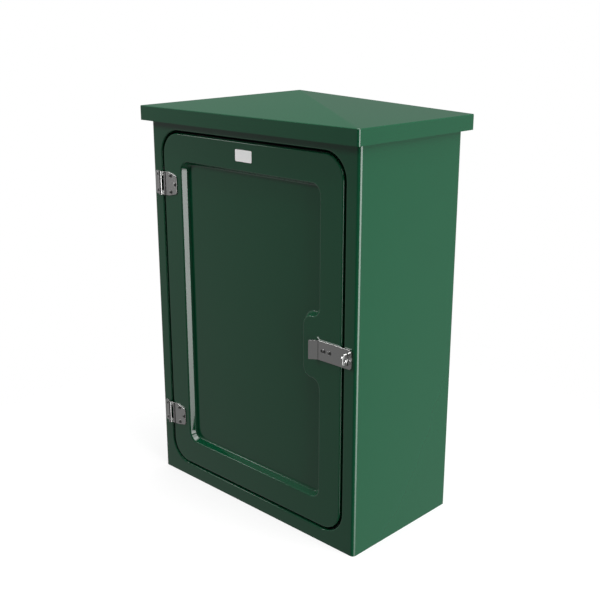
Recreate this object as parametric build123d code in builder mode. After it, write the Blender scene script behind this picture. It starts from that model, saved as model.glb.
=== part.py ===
from build123d import *
from math import atan2, cos, degrees, hypot, radians, sin, tan
import os

os.makedirs("parts", exist_ok=True)

# A roadside utility cabinet moulded in glass fibre: a body with a front frame, a separate pyramid
# roof, and one door on two hinges, closed by a strap over a padlock eye.
# Millimetres. Z is up, the door faces -Y, and the origin is on the ground under the middle.

# Body shell
body_width = 602.0
body_depth = 312.0
body_corner_radius = 8.0
body_wall = 5.0
base_flange_width = 40.0
top_flange_width = 30.0
anchor_hole_diameter = 14.0
anchor_inset = 22.0
opening_edge_radius = 3.0
lip_width = 20.0

# Rails of the front frame, seen from the sides of the door and from its top to the eave
side_rail_width = 38.5
top_rail_height = 23.0

# Roof canopy
fascia_height = 31.0
roof_rise = 40.0
side_overhang = 13.5
front_overhang = 20.5
roof_wall = 4.0
roof_corner_radius = 5.0
roof_edge_radius = 2.0
roof_seat_depth = 5.0

# Gasket, studs and nuts that bed and hold the roof
gasket_thickness = 3.0
gasket_inset = 2.0
gasket_width = 24.0
stud_diameter = 6.0
stud_inset = 16.0
stud_embed = 5.0
stud_tail = 3.0
stud_nut_flats = 10.0
stud_nut_height = 5.0

# Door, standing proud of the frame by a hair so that the strap clears the frame
door_height = 770.0
door_bottom = 37.0
door_gap = 6.0
door_proud = 0.5
door_depth = 28.0
door_skin = 4.0
door_corner_radius = 48.0
door_edge_radius = 3.0

# Sunk panel of the door, and the lobe of the border that carries the hasp
recess_border = 58.0
recess_depth = 15.0
recess_run = 6.0
recess_corner_radius = 23.0
recess_rim_radius = 3.0
recess_floor_radius = 5.0
lobe_reach = 43.5
lobe_height = 128.0
lobe_radius = 21.0

# Seal on the rebate lip
seal_thickness = 6.0
seal_width = 13.0
seal_inset = 2.5
seal_gap = 0.3

# Hinges
hinge_spacing = 546.0
hinge_height = 52.0
hinge_setback = 1.2
barrel_diameter = 8.0
barrel_standoff = 2.0
end_knuckle_height = 10.0
knuckle_gap = 0.4
pin_diameter = 4.0
pin_chamfer = 0.5
leaf_thickness = 2.0
leaf_clearance = 0.4
leaf_step_run = 2.2
leaf_bend_radius = 1.2
plate_edge_radius = 0.4
door_leaf_reach = 51.0
door_leaf_shoulder = 23.5
door_leaf_end_height = 39.0
door_leaf_corner_radius = 6.0
door_leaf_notch = 8.0
door_leaf_step = 12.0
frame_leaf_reach = 22.8
frame_leaf_chamfer = 4.0
frame_leaf_step = 5.0
leaf_screw_spacing = 36.0
door_leaf_near_screw = 30.7
door_leaf_far_screw = 45.7
frame_leaf_screw = 12.8

# Domed screws and their nuts
screw_diameter = 5.0
screw_head_diameter = 9.5
screw_head_height = 2.8
screw_head_rim = 0.6
screw_tail = 1.5
nut_flats = 8.0
nut_height = 4.0

# Hasp strap with its pull tab
strap_height = 40.0
strap_thickness = 3.0
strap_hold = 58.5
strap_reach = 28.5
strap_bend_radius = 5.0
strap_chamfer = 4.5
tab_length = 20.0
tab_angle = 35.0
tab_corner_radius = 3.0
slot_height = 26.0
slot_width = 6.4
slot_inset = 10.5
hasp_outer_screw = 28.5
hasp_screw_spacing = 20.0

# Turning staple
eye_thickness = 4.5
eye_height = 23.0
eye_reach = 19.5
eye_corner_radius = 7.0
eye_hole_diameter = 9.5
eye_hole_inset = 8.5
eye_edge_radius = 1.0
eye_gap = 0.4
neck_diameter = 5.6
bush_wall = 1.7
staple_washer_diameter = 10.0
staple_washer_thickness = 1.2
staple_nut_flats = 8.0
staple_nut_height = 4.5

# Label plate
label_width = 48.0
label_height = 24.0
label_thickness = 0.6
label_corner_radius = 2.5
label_drop = 27.5
label_shift = -5.0

# Mounting board on the back wall
board_width = 480.0
board_height = 720.0
board_thickness = 15.0
board_edge_radius = 1.5
spacer_length = 20.0
spacer_diameter = 36.0
board_screw_inset = 32.0
board_screw_diameter = 6.0
board_screw_bite = 14.0
board_screw_head_diameter = 12.0
board_screw_angle = 90.0

# Fits: a turning fit, a fixed fit and a loose screw hole
running_clearance = 0.05
seat_clearance = 0.05
hole_clearance = 0.2

# Places worked out from the driving dimensions
front_y = -body_depth / 2
door_width = body_width - 2 * side_rail_width
eave_height = door_bottom + door_height + top_rail_height
fascia_top = eave_height + fascia_height
roof_seat = fascia_top - roof_seat_depth
body_top = roof_seat - gasket_thickness
roof_width = body_width + 2 * side_overhang
roof_depth = body_depth + 2 * front_overhang
door_middle = door_bottom + door_height / 2
rebate_depth = door_depth - door_proud + seal_gap + seal_thickness
hinge_x = -(door_width / 2 + door_gap + hinge_setback)
hinge_y = front_y - barrel_standoff - barrel_diameter / 2
hinge_heights = (door_middle + hinge_spacing / 2, door_middle - hinge_spacing / 2)
strap_end = door_width / 2 + strap_reach
strap_bend = door_width / 2 - strap_hold
staple_x = strap_end - slot_inset
bush_radius = neck_diameter / 2 + bush_wall

# Upright planes with X to the right and Z up, whose normals point out of the front
frame_face = Plane(origin=(0, front_y, 0), x_dir=(1, 0, 0), z_dir=(0, -1, 0))
door_face = frame_face.offset(door_proud)

# Places of the fasteners on the front, as X and Z
frame_screw_places = []
door_screw_places = []
for height in hinge_heights:
    for step in (-leaf_screw_spacing / 2, leaf_screw_spacing / 2):
        frame_screw_places.append((hinge_x - frame_leaf_screw, height + step))
        door_screw_places.append((hinge_x + door_leaf_near_screw, height + step))
    door_screw_places.append((hinge_x + door_leaf_far_screw, height))
hasp_screw_places = [
    (door_width / 2 - hasp_outer_screw, door_middle),
    (door_width / 2 - hasp_outer_screw - hasp_screw_spacing, door_middle),
]
stud_places = GridLocations(body_width - 2 * stud_inset, body_depth - 2 * stud_inset, 2, 2).locations
anchor_places = GridLocations(body_width - 2 * anchor_inset, body_depth - 2 * anchor_inset, 2, 2).locations


def opening_outline(inset, mode=Mode.ADD):
    """Door opening in the front frame, drawn smaller by the inset."""
    with Locations((0, door_middle)):
        RectangleRounded(
            door_width + 2 * (door_gap - inset),
            door_height + 2 * (door_gap - inset),
            door_corner_radius + door_gap - inset,
            mode=mode,
        )


def door_outline(inset):
    """Outline of the door, drawn smaller by the inset."""
    opening_outline(door_gap + inset)


# Outline of the door's sunk panel: a round-cornered field with the hasp lobe left standing in it.
recess_right = door_width / 2 - recess_border
recess_low = door_bottom + recess_border
recess_high = door_bottom + door_height - recess_border
lobe_left = recess_right - lobe_reach
lobe_low = door_middle - lobe_height / 2
lobe_high = door_middle + lobe_height / 2
with BuildSketch(door_face) as recess_rim:
    with BuildLine():
        FilletPolyline(
            (-recess_right, recess_low),
            (recess_right, recess_low),
            (recess_right, lobe_low),
            (lobe_left, lobe_low),
            (lobe_left, lobe_high),
            (recess_right, lobe_high),
            (recess_right, recess_high),
            (-recess_right, recess_high),
            radius=[recess_corner_radius] * 2 + [lobe_radius] * 4 + [recess_corner_radius] * 2,
            close=True,
        )
    make_face()
recess_taper = degrees(atan2(recess_run, recess_depth))


# Body shell: one moulding with flanged top and base, and a rebate behind the front frame.
with BuildPart() as body_shell:
    with BuildSketch():
        RectangleRounded(body_width, body_depth, body_corner_radius)
    extrude(amount=body_top)
    with BuildSketch(Plane.XY.offset(body_wall)):
        RectangleRounded(
            body_width - 2 * body_wall, body_depth - 2 * body_wall, body_corner_radius - body_wall
        )
    extrude(amount=body_top - 2 * body_wall, mode=Mode.SUBTRACT)
    with BuildSketch():
        Rectangle(body_width - 2 * base_flange_width, body_depth - 2 * base_flange_width)
    extrude(amount=body_wall, mode=Mode.SUBTRACT)
    with BuildSketch(Plane.XY.offset(body_top)):
        Rectangle(body_width - 2 * top_flange_width, body_depth - 2 * top_flange_width)
    extrude(amount=-body_wall, mode=Mode.SUBTRACT)
    with BuildSketch(frame_face):
        opening_outline(-body_wall)
    extrude(amount=-(rebate_depth + body_wall))
    with BuildSketch(frame_face):
        opening_outline(0)
    extrude(amount=-rebate_depth, mode=Mode.SUBTRACT)
    with BuildSketch(frame_face):
        opening_outline(lip_width)
    extrude(amount=-(rebate_depth + body_wall), mode=Mode.SUBTRACT)
    opening_edge = body_shell.faces().sort_by(Axis.Y)[0].inner_wires()[0]
    fillet(opening_edge.edges(), radius=opening_edge_radius)
    with BuildSketch(frame_face):
        with Locations(*frame_screw_places):
            Circle(screw_diameter / 2 + hole_clearance)
        with Locations((staple_x, door_middle)):
            Circle(bush_radius + seat_clearance)
    extrude(amount=-body_wall, mode=Mode.SUBTRACT)
    with BuildSketch():
        with Locations(*anchor_places):
            Circle(anchor_hole_diameter / 2)
    extrude(amount=body_wall, mode=Mode.SUBTRACT)
    with BuildSketch(Plane.XY.offset(body_top)):
        with Locations(*stud_places):
            Circle(stud_diameter / 2 + hole_clearance)
    extrude(amount=-body_wall, mode=Mode.SUBTRACT)


# Roof canopy: a four-sided point over a downturned fascia, hollow below, with a flat seat all round.
with BuildSketch(Plane.XY.offset(fascia_top)) as roof_plan:
    RectangleRounded(roof_width, roof_depth, roof_corner_radius)
roof_drop = roof_wall * hypot(roof_rise, roof_depth / 2) / (roof_depth / 2)
with BuildSketch(Plane.XY.offset(fascia_top - roof_drop)) as hollow_plan:
    Rectangle(roof_width, roof_depth)
with BuildPart() as roof_hollow:
    loft([hollow_plan.sketch, Vertex(0, 0, fascia_top - roof_drop + roof_rise)], ruled=True)
    extrude(hollow_plan.sketch, amount=-roof_seat_depth)
    with BuildSketch(Plane.XY.offset(roof_seat)):
        Rectangle(body_width - 2 * top_flange_width, body_depth - 2 * top_flange_width)
    extrude(amount=roof_seat_depth + roof_rise, mode=Mode.INTERSECT)
with BuildPart() as roof_canopy:
    loft([roof_plan.sketch, Vertex(0, 0, fascia_top + roof_rise)], ruled=True)
    extrude(roof_plan.sketch, amount=-fascia_height)
    fascia_rim = roof_canopy.edges().filter_by_position(Axis.Z, fascia_top, fascia_top)
    fillet(fascia_rim, radius=roof_edge_radius)
    with BuildSketch(Plane.XY.offset(eave_height)):
        RectangleRounded(
            roof_width - 2 * roof_wall, roof_depth - 2 * roof_wall, roof_corner_radius - roof_wall
        )
    extrude(amount=roof_seat - eave_height, mode=Mode.SUBTRACT)
    add(roof_hollow.part, mode=Mode.SUBTRACT)
    with BuildSketch(Plane.XY.offset(roof_seat)):
        with Locations(*stud_places):
            Circle(stud_diameter / 2 + seat_clearance)
    extrude(amount=stud_embed, mode=Mode.SUBTRACT)


# Roof gasket: a flat foam ring between the top flange and the seat of the roof.
with BuildPart() as roof_gasket:
    with BuildSketch(Plane.XY.offset(body_top)):
        Rectangle(body_width - 2 * gasket_inset, body_depth - 2 * gasket_inset)
        gasket_edge = gasket_inset + gasket_width
        Rectangle(body_width - 2 * gasket_edge, body_depth - 2 * gasket_edge, mode=Mode.SUBTRACT)
        with Locations(*stud_places):
            Circle(stud_diameter / 2 + hole_clearance, mode=Mode.SUBTRACT)
    extrude(amount=gasket_thickness)


# Roof studs, bonded into the seat of the roof, and their nuts under the top flange.
stud_length = stud_embed + gasket_thickness + body_wall + stud_nut_height + stud_tail
with BuildPart() as roof_studs:
    with BuildSketch(Plane.XY.offset(roof_seat + stud_embed)):
        with Locations(*stud_places):
            Circle(stud_diameter / 2)
    extrude(amount=-stud_length)
with BuildPart() as roof_nuts:
    with BuildSketch(Plane.XY.offset(body_top - body_wall)):
        with Locations(*stud_places):
            RegularPolygon(stud_nut_flats / 2, 6, major_radius=False)
            Circle(stud_diameter / 2 + seat_clearance, mode=Mode.SUBTRACT)
    extrude(amount=-stud_nut_height)


# Door seal: a rubber strip stuck to the front of the rebate lip.
with BuildPart() as door_seal:
    with BuildSketch(frame_face.offset(-rebate_depth)):
        opening_outline(seal_inset)
        opening_outline(seal_inset + seal_width, mode=Mode.SUBTRACT)
    extrude(amount=seal_thickness)


# Door panel: a tray moulding with returned edges, whose front skin is sunk around the hasp lobe.
with BuildPart() as door_hollow:
    with BuildSketch(door_face.offset(-door_skin)):
        door_outline(door_skin)
    extrude(amount=-door_depth)
    with BuildSketch(door_face):
        add(recess_rim.sketch)
        offset(amount=door_skin)
    extrude(amount=-(recess_depth + door_skin), taper=recess_taper, mode=Mode.SUBTRACT)
with BuildPart() as door_panel:
    with BuildSketch(door_face):
        door_outline(0)
    extrude(amount=-door_depth)
    extrude(recess_rim.sketch, amount=-recess_depth, taper=recess_taper, mode=Mode.SUBTRACT)
    door_front = door_panel.faces().sort_by(Axis.Y)[0]
    fillet(door_front.inner_wires()[0].edges(), radius=recess_rim_radius)
    door_front = door_panel.faces().sort_by(Axis.Y)[0]
    fillet(door_front.outer_wire().edges(), radius=door_edge_radius)
    floor_y = front_y - door_proud + recess_depth
    recess_floor = door_panel.faces().filter_by_position(Axis.Y, floor_y, floor_y)[0]
    fillet(recess_floor.outer_wire().edges(), radius=recess_floor_radius)
    add(door_hollow.part, mode=Mode.SUBTRACT)
    with BuildSketch(door_face):
        with Locations(*door_screw_places, *hasp_screw_places):
            Circle(screw_diameter / 2 + hole_clearance)
    extrude(amount=-door_skin, mode=Mode.SUBTRACT)


# Label plate: a small blank plate stuck to the top border of the door.
with BuildPart() as label_plate:
    with BuildSketch(door_face):
        with Locations((label_shift, door_bottom + door_height - label_drop)):
            RectangleRounded(label_width, label_height, label_corner_radius)
    extrude(amount=label_thickness)


def knuckle(low, high):
    """Solid barrel of a hinge between two heights."""
    with BuildPart() as barrel:
        with BuildSketch(Plane.XY.offset(low)):
            with Locations((hinge_x, hinge_y)):
                Circle(barrel_diameter / 2)
        extrude(amount=high - low)
    return barrel.part


def pin_bore(low, high):
    """Hole of the hinge pin between two heights."""
    with BuildPart() as bore:
        with BuildSketch(Plane.XY.offset(low)):
            with Locations((hinge_x, hinge_y)):
                Circle(pin_diameter / 2 + running_clearance)
        extrude(amount=high - low)
    return bore.part


def leaf_strip(middle, side, seat_y, reach, step):
    """Sheet of a hinge leaf: flat on its seat, then stepped out to the back of the barrel."""
    plate_y = seat_y - leaf_thickness / 2
    barrel_y = front_y - barrel_standoff - leaf_thickness / 2
    with BuildPart() as strip:
        with BuildSketch(Plane.XY.offset(middle - hinge_height / 2)):
            with BuildLine():
                FilletPolyline(
                    (hinge_x + side * reach, plate_y),
                    (hinge_x + side * (step + leaf_step_run), plate_y),
                    (hinge_x + side * step, barrel_y),
                    (hinge_x, barrel_y),
                    radius=leaf_bend_radius,
                )
            trace(line_width=leaf_thickness)
        extrude(amount=hinge_height)
    return strip.part


def plate_rim(leaf):
    """Edges round the front of a leaf's plate, without the one where the step begins."""
    fronts = leaf.faces().filter_by(lambda face: face.normal_at().Y < 0).filter_by(Axis.Y)
    rim = fronts.sort_by(SortBy.AREA)[-1].outer_wire().edges()
    return rim.sort_by(lambda edge: abs(edge.center().X - hinge_x))[1:]


def make_frame_leaf(middle):
    """Hinge leaf on the frame, carrying the long middle knuckle."""
    half = hinge_height / 2
    inner = half - end_knuckle_height - knuckle_gap / 2
    root = hinge_x - barrel_diameter / 2 - leaf_clearance
    with BuildPart() as leaf:
        add(leaf_strip(middle, -1, front_y, frame_leaf_reach, frame_leaf_step))
        with BuildSketch(frame_face):
            with BuildLine():
                Polyline(
                    (root, middle - half),
                    (hinge_x - frame_leaf_reach + frame_leaf_chamfer, middle - half),
                    (hinge_x - frame_leaf_reach, middle - half + frame_leaf_chamfer),
                    (hinge_x - frame_leaf_reach, middle + half - frame_leaf_chamfer),
                    (hinge_x - frame_leaf_reach + frame_leaf_chamfer, middle + half),
                    (root, middle + half),
                    (root, middle + inner),
                    (hinge_x, middle + inner),
                    (hinge_x, middle - inner),
                    (root, middle - inner),
                    close=True,
                )
            make_face()
            with Locations(
                (hinge_x - frame_leaf_screw, middle - leaf_screw_spacing / 2),
                (hinge_x - frame_leaf_screw, middle + leaf_screw_spacing / 2),
            ):
                Circle(screw_diameter / 2 + hole_clearance, mode=Mode.SUBTRACT)
        extrude(amount=barrel_standoff + barrel_diameter, mode=Mode.INTERSECT)
        fillet(plate_rim(leaf), radius=plate_edge_radius)
        add(knuckle(middle - inner, middle + inner))
        add(pin_bore(middle - half, middle + half), mode=Mode.SUBTRACT)
    return leaf


def make_door_leaf(middle):
    """Hinge leaf on the door, notched for the middle knuckle and tapering beyond its shoulders."""
    half = hinge_height / 2
    inner = half - end_knuckle_height + knuckle_gap / 2
    notch = hinge_x + door_leaf_notch
    shoulder = hinge_x + door_leaf_shoulder
    end = hinge_x + door_leaf_reach
    with BuildPart() as leaf:
        add(leaf_strip(middle, 1, front_y - door_proud, door_leaf_reach, door_leaf_step))
        with BuildSketch(door_face):
            with BuildLine():
                FilletPolyline(
                    (hinge_x, middle - half),
                    (shoulder, middle - half),
                    (end, middle - door_leaf_end_height / 2),
                    (end, middle + door_leaf_end_height / 2),
                    (shoulder, middle + half),
                    (hinge_x, middle + half),
                    (hinge_x, middle + inner),
                    (notch, middle + inner),
                    (notch, middle - inner),
                    (hinge_x, middle - inner),
                    radius=[0, 0, door_leaf_corner_radius, door_leaf_corner_radius, 0, 0, 0, 0, 0, 0],
                    close=True,
                )
            make_face()
            with Locations(
                (hinge_x + door_leaf_near_screw, middle - leaf_screw_spacing / 2),
                (hinge_x + door_leaf_near_screw, middle + leaf_screw_spacing / 2),
                (hinge_x + door_leaf_far_screw, middle),
            ):
                Circle(screw_diameter / 2 + hole_clearance, mode=Mode.SUBTRACT)
        extrude(amount=barrel_standoff + barrel_diameter, mode=Mode.INTERSECT)
        fillet(plate_rim(leaf), radius=plate_edge_radius)
        add(knuckle(middle - half, middle - inner))
        add(knuckle(middle + inner, middle + half))
        add(pin_bore(middle - half, middle + half), mode=Mode.SUBTRACT)
    return leaf


def make_hinge_pin(middle):
    """Pin through all three knuckles, flush with the barrel's ends."""
    with BuildPart() as pin:
        with BuildSketch(Plane.XY.offset(middle - hinge_height / 2)):
            with Locations((hinge_x, hinge_y)):
                Circle(pin_diameter / 2)
        extrude(amount=hinge_height)
        chamfer(pin.edges().filter_by(GeomType.CIRCLE), length=pin_chamfer)
    return pin


upper_hinge, lower_hinge = hinge_heights
upper_hinge_frame_leaf = make_frame_leaf(upper_hinge)
lower_hinge_frame_leaf = make_frame_leaf(lower_hinge)
upper_hinge_door_leaf = make_door_leaf(upper_hinge)
lower_hinge_door_leaf = make_door_leaf(lower_hinge)
upper_hinge_pin = make_hinge_pin(upper_hinge)
lower_hinge_pin = make_hinge_pin(lower_hinge)


def make_screws(seat, places, grip):
    """Domed screws whose heads sit on a plane, reaching through the grip and a nut."""
    length = grip + nut_height + screw_tail
    with BuildPart() as screws:
        for place in places:
            centre = seat.from_local_coords(Vector(*place))
            axis_plane = Plane(origin=centre, x_dir=(1, 0, 0), z_dir=(0, 0, -1))
            with BuildSketch(axis_plane):
                with BuildLine():
                    Polyline(
                        (0, screw_head_height),
                        (0, -length),
                        (screw_diameter / 2, -length),
                        (screw_diameter / 2, 0),
                        (screw_head_diameter / 2, 0),
                        (screw_head_diameter / 2, screw_head_rim),
                    )
                    RadiusArc(
                        (screw_head_diameter / 2, screw_head_rim),
                        (0, screw_head_height),
                        -dome_radius,
                    )
                make_face()
            revolve(axis=Axis(centre, (0, 1, 0)))
    return screws


def make_nuts(seat, places):
    """Hexagon nuts that bear on a plane from behind."""
    with BuildPart() as nuts:
        with BuildSketch(seat):
            with Locations(*places):
                RegularPolygon(nut_flats / 2, 6, major_radius=False)
                Circle(screw_diameter / 2 + seat_clearance, mode=Mode.SUBTRACT)
        extrude(amount=-nut_height)
    return nuts


dome_rise = screw_head_height - screw_head_rim
dome_radius = (dome_rise**2 + (screw_head_diameter / 2) ** 2) / (2 * dome_rise)
frame_leaf_screws = make_screws(
    frame_face.offset(leaf_thickness), frame_screw_places, leaf_thickness + body_wall
)
frame_leaf_nuts = make_nuts(frame_face.offset(-body_wall), frame_screw_places)
door_leaf_screws = make_screws(
    door_face.offset(leaf_thickness), door_screw_places, leaf_thickness + door_skin
)
door_leaf_nuts = make_nuts(door_face.offset(-door_skin), door_screw_places)
hasp_screws = make_screws(
    door_face.offset(strap_thickness), hasp_screw_places, strap_thickness + door_skin
)
hasp_nuts = make_nuts(door_face.offset(-door_skin), hasp_screw_places)


# Hasp strap: one plate, bent out at its inner end as a pull tab, slotted for the staple.
strap_middle_y = front_y - door_proud - strap_thickness / 2
tab_tip_x = strap_bend - tab_length * cos(radians(tab_angle))
tab_tip_y = strap_middle_y - tab_length * sin(radians(tab_angle))
tab_edge = tab_tip_x - strap_thickness / 2 * sin(radians(tab_angle))
with BuildPart() as hasp_strap:
    with BuildSketch(Plane.XY.offset(door_middle - strap_height / 2)):
        with BuildLine():
            FilletPolyline(
                (strap_end, strap_middle_y),
                (strap_bend, strap_middle_y),
                (tab_tip_x, tab_tip_y),
                radius=strap_bend_radius,
            )
        trace(line_width=strap_thickness)
    extrude(amount=strap_height)
    with BuildSketch(door_face) as strap_outline:
        with Locations(((strap_end + tab_edge) / 2, door_middle)):
            Rectangle(strap_end - tab_edge, strap_height)
        fillet(strap_outline.vertices().group_by(Axis.X)[0], radius=tab_corner_radius)
        chamfer(strap_outline.vertices().group_by(Axis.X)[-1], length=strap_chamfer)
    extrude(amount=tab_length, mode=Mode.INTERSECT)
    fillet(hasp_strap.faces().filter_by(Axis.Z).edges(), radius=plate_edge_radius)
    with BuildSketch(door_face):
        with Locations(*hasp_screw_places):
            Circle(screw_diameter / 2 + hole_clearance)
        with Locations((staple_x, door_middle)):
            SlotOverall(slot_height, slot_width, rotation=90)
    extrude(amount=strap_thickness, mode=Mode.SUBTRACT)


# Turning staple: a flat padlock eye on a round neck, in a bush through the frame.
eye_base = door_proud + strap_thickness + eye_gap
staple_length = eye_base + body_wall + staple_washer_thickness + staple_nut_height + screw_tail
eye_plane = Plane(origin=(staple_x, front_y, door_middle), x_dir=(0, -1, 0), z_dir=(1, 0, 0))
with BuildPart() as staple_eye:
    with BuildSketch(eye_plane) as eye_outline:
        with Locations(((eye_base + eye_reach) / 2, 0)):
            Rectangle(eye_reach - eye_base, eye_height)
        fillet(eye_outline.vertices().group_by(Axis.X)[-1], radius=eye_corner_radius)
        with Locations((eye_reach - eye_hole_inset, 0)):
            Circle(eye_hole_diameter / 2, mode=Mode.SUBTRACT)
    extrude(amount=eye_thickness / 2, both=True)
    fillet(staple_eye.faces().filter_by(Axis.X).edges(), radius=eye_edge_radius)
    with BuildSketch(frame_face.offset(eye_base)):
        with Locations((staple_x, door_middle)):
            Circle(neck_diameter / 2)
    extrude(amount=-staple_length)
with BuildPart() as staple_bush:
    with BuildSketch(frame_face):
        with Locations((staple_x, door_middle)):
            Circle(bush_radius)
            Circle(neck_diameter / 2 + running_clearance, mode=Mode.SUBTRACT)
    extrude(amount=-body_wall)
with BuildPart() as staple_washer:
    with BuildSketch(frame_face.offset(-body_wall - running_clearance)):
        with Locations((staple_x, door_middle)):
            Circle(staple_washer_diameter / 2)
            Circle(neck_diameter / 2 + seat_clearance, mode=Mode.SUBTRACT)
    extrude(amount=-staple_washer_thickness)
with BuildPart() as staple_nut:
    with BuildSketch(frame_face.offset(-body_wall - running_clearance - staple_washer_thickness)):
        with Locations((staple_x, door_middle)):
            RegularPolygon(staple_nut_flats / 2, 6, major_radius=False)
            Circle(neck_diameter / 2 + seat_clearance, mode=Mode.SUBTRACT)
    extrude(amount=-staple_nut_height)


# Mounting board: plywood on four bonded spacers, held by one countersunk screw at each.
back_wall = Plane(origin=(0, body_depth / 2 - body_wall, 0), x_dir=(1, 0, 0), z_dir=(0, -1, 0))
board_back = back_wall.offset(spacer_length)
board_front = board_back.offset(board_thickness)
board_screw_taper = board_screw_angle / 2
board_screw_cone = (board_screw_head_diameter - board_screw_diameter) / 2 / tan(radians(board_screw_taper))
board_grid = GridLocations(board_width - 2 * board_screw_inset, board_height - 2 * board_screw_inset, 2, 2)
board_places = [(place.position.X, place.position.Y + door_middle) for place in board_grid.locations]
with BuildPart() as backboard_spacers:
    with BuildSketch(back_wall):
        with Locations(*board_places):
            Circle(spacer_diameter / 2)
    extrude(amount=spacer_length)
    with BuildSketch(board_back):
        with Locations(*board_places):
            Circle(board_screw_diameter / 2 + seat_clearance)
    extrude(amount=-board_screw_bite, mode=Mode.SUBTRACT)
with BuildPart() as backboard:
    with BuildSketch(board_back):
        with Locations((0, door_middle)):
            Rectangle(board_width, board_height)
    extrude(amount=board_thickness)
    chamfer(backboard.faces().sort_by(Axis.Y)[0].edges(), length=board_edge_radius)
    with Locations(board_front):
        with Locations(*board_places):
            CounterSinkHole(
                board_screw_diameter / 2 + hole_clearance,
                board_screw_head_diameter / 2 + seat_clearance,
                board_thickness,
                board_screw_angle,
            )
with BuildPart() as backboard_screws:
    with BuildSketch(board_front):
        with Locations(*board_places):
            Circle(board_screw_head_diameter / 2)
    extrude(amount=-board_screw_cone, taper=board_screw_taper)
    with BuildSketch(board_front):
        with Locations(*board_places):
            Circle(board_screw_diameter / 2)
    extrude(amount=-(board_thickness + board_screw_bite))


pieces = {
    "body_shell": body_shell,
    "roof_canopy": roof_canopy,
    "roof_gasket": roof_gasket,
    "roof_studs": roof_studs,
    "roof_nuts": roof_nuts,
    "door_seal": door_seal,
    "door_panel": door_panel,
    "label_plate": label_plate,
    "upper_hinge_frame_leaf": upper_hinge_frame_leaf,
    "lower_hinge_frame_leaf": lower_hinge_frame_leaf,
    "upper_hinge_door_leaf": upper_hinge_door_leaf,
    "lower_hinge_door_leaf": lower_hinge_door_leaf,
    "upper_hinge_pin": upper_hinge_pin,
    "lower_hinge_pin": lower_hinge_pin,
    "frame_leaf_screws": frame_leaf_screws,
    "frame_leaf_nuts": frame_leaf_nuts,
    "door_leaf_screws": door_leaf_screws,
    "door_leaf_nuts": door_leaf_nuts,
    "hasp_strap": hasp_strap,
    "hasp_screws": hasp_screws,
    "hasp_nuts": hasp_nuts,
    "staple_eye": staple_eye,
    "staple_bush": staple_bush,
    "staple_washer": staple_washer,
    "staple_nut": staple_nut,
    "backboard": backboard,
    "backboard_spacers": backboard_spacers,
    "backboard_screws": backboard_screws,
}
for name, piece in pieces.items():
    piece.part.label = name
    export_step(piece.part, f"parts/{name}.step")
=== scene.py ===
import math

import bpy
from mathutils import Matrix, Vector


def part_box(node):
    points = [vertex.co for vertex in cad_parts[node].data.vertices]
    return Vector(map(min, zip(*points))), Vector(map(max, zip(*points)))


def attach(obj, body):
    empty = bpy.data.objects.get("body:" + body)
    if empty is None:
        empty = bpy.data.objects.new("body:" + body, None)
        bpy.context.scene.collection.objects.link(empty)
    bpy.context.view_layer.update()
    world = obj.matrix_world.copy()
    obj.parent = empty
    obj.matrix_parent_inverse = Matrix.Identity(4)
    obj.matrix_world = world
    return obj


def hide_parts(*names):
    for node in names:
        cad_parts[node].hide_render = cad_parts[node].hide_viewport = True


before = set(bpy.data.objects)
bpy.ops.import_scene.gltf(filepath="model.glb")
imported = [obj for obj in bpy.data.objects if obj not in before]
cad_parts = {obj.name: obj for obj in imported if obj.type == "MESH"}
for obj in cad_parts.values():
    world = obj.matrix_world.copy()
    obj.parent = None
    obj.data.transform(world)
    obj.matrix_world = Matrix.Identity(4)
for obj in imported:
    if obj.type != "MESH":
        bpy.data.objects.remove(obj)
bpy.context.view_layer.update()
bpy.context.scene.view_settings.view_transform = "Standard"


# Body shell
# One moulding in glass-reinforced polyester: glossy green gelcoat against the mould outside, and matt
# flowcoat over chopped-strand laminate inside. Front frame, door rebate and flanges are laid up with it.
GELCOAT_GREEN = (0.0043, 0.079, 0.0333, 1.0)
GELCOAT_DEEP_GREEN = (0.0040, 0.075, 0.0315, 1.0)
FLOWCOAT_GREEN = (0.085, 0.150, 0.115, 1.0)
FLOWCOAT_PALE_GREEN = (0.125, 0.195, 0.155, 1.0)
GELCOAT_SHADE_SCALE = 9.0
GELCOAT_HAZE_SCALE = 60.0
GELCOAT_ROUGHNESS = (0.05, 0.09)
GELCOAT_SPECULAR = 0.75
RIPPLE_SCALE = 14.0
RIPPLE_HEIGHT = 0.00008
FLOWCOAT_ROUGHNESS = 0.55
FLOWCOAT_SPECULAR = 0.4
STRAND_SCALE = 420.0
STRAND_STRETCH = 0.08
STRAND_HEIGHT = 0.0003
BODY_WALL = 0.005
DOOR_GAP = 0.006
OPENING_CORNER_RADIUS = 0.054


def start_material(name):
    """A new material, with its node tree, shader and Object coordinates."""
    material = bpy.data.materials.new(name)
    material.use_nodes = True
    tree = material.node_tree
    shader = tree.nodes["Principled BSDF"]
    place = tree.nodes.new("ShaderNodeTexCoord").outputs["Object"]
    return material, tree, shader, place


def give(tree, socket, value):
    """Links a socket to another one, or sets it to a plain value."""
    if isinstance(value, bpy.types.NodeSocket):
        tree.links.new(value, socket)
    else:
        socket.default_value = value


def add_node(tree, kind, inputs=None, **settings):
    """A new node with its settings made and its inputs given."""
    node = tree.nodes.new(kind)
    for name, value in settings.items():
        setattr(node, name, value)
    for name, value in (inputs or {}).items():
        give(tree, node.inputs[name], value)
    return node


def maths(tree, operation, *values):
    """Result of a sum on values or sockets."""
    node = add_node(tree, "ShaderNodeMath", dict(enumerate(values)), operation=operation)
    return node.outputs["Value"]


def vector_maths(tree, operation, *values):
    """Result of a vector sum on values or sockets."""
    node = add_node(tree, "ShaderNodeVectorMath", dict(enumerate(values)), operation=operation)
    return node.outputs["Value" if operation in ("LENGTH", "DOT_PRODUCT") else "Vector"]


def split(tree, vector):
    """The three parts of a vector."""
    return add_node(tree, "ShaderNodeSeparateXYZ", {"Vector": vector}).outputs


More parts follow.
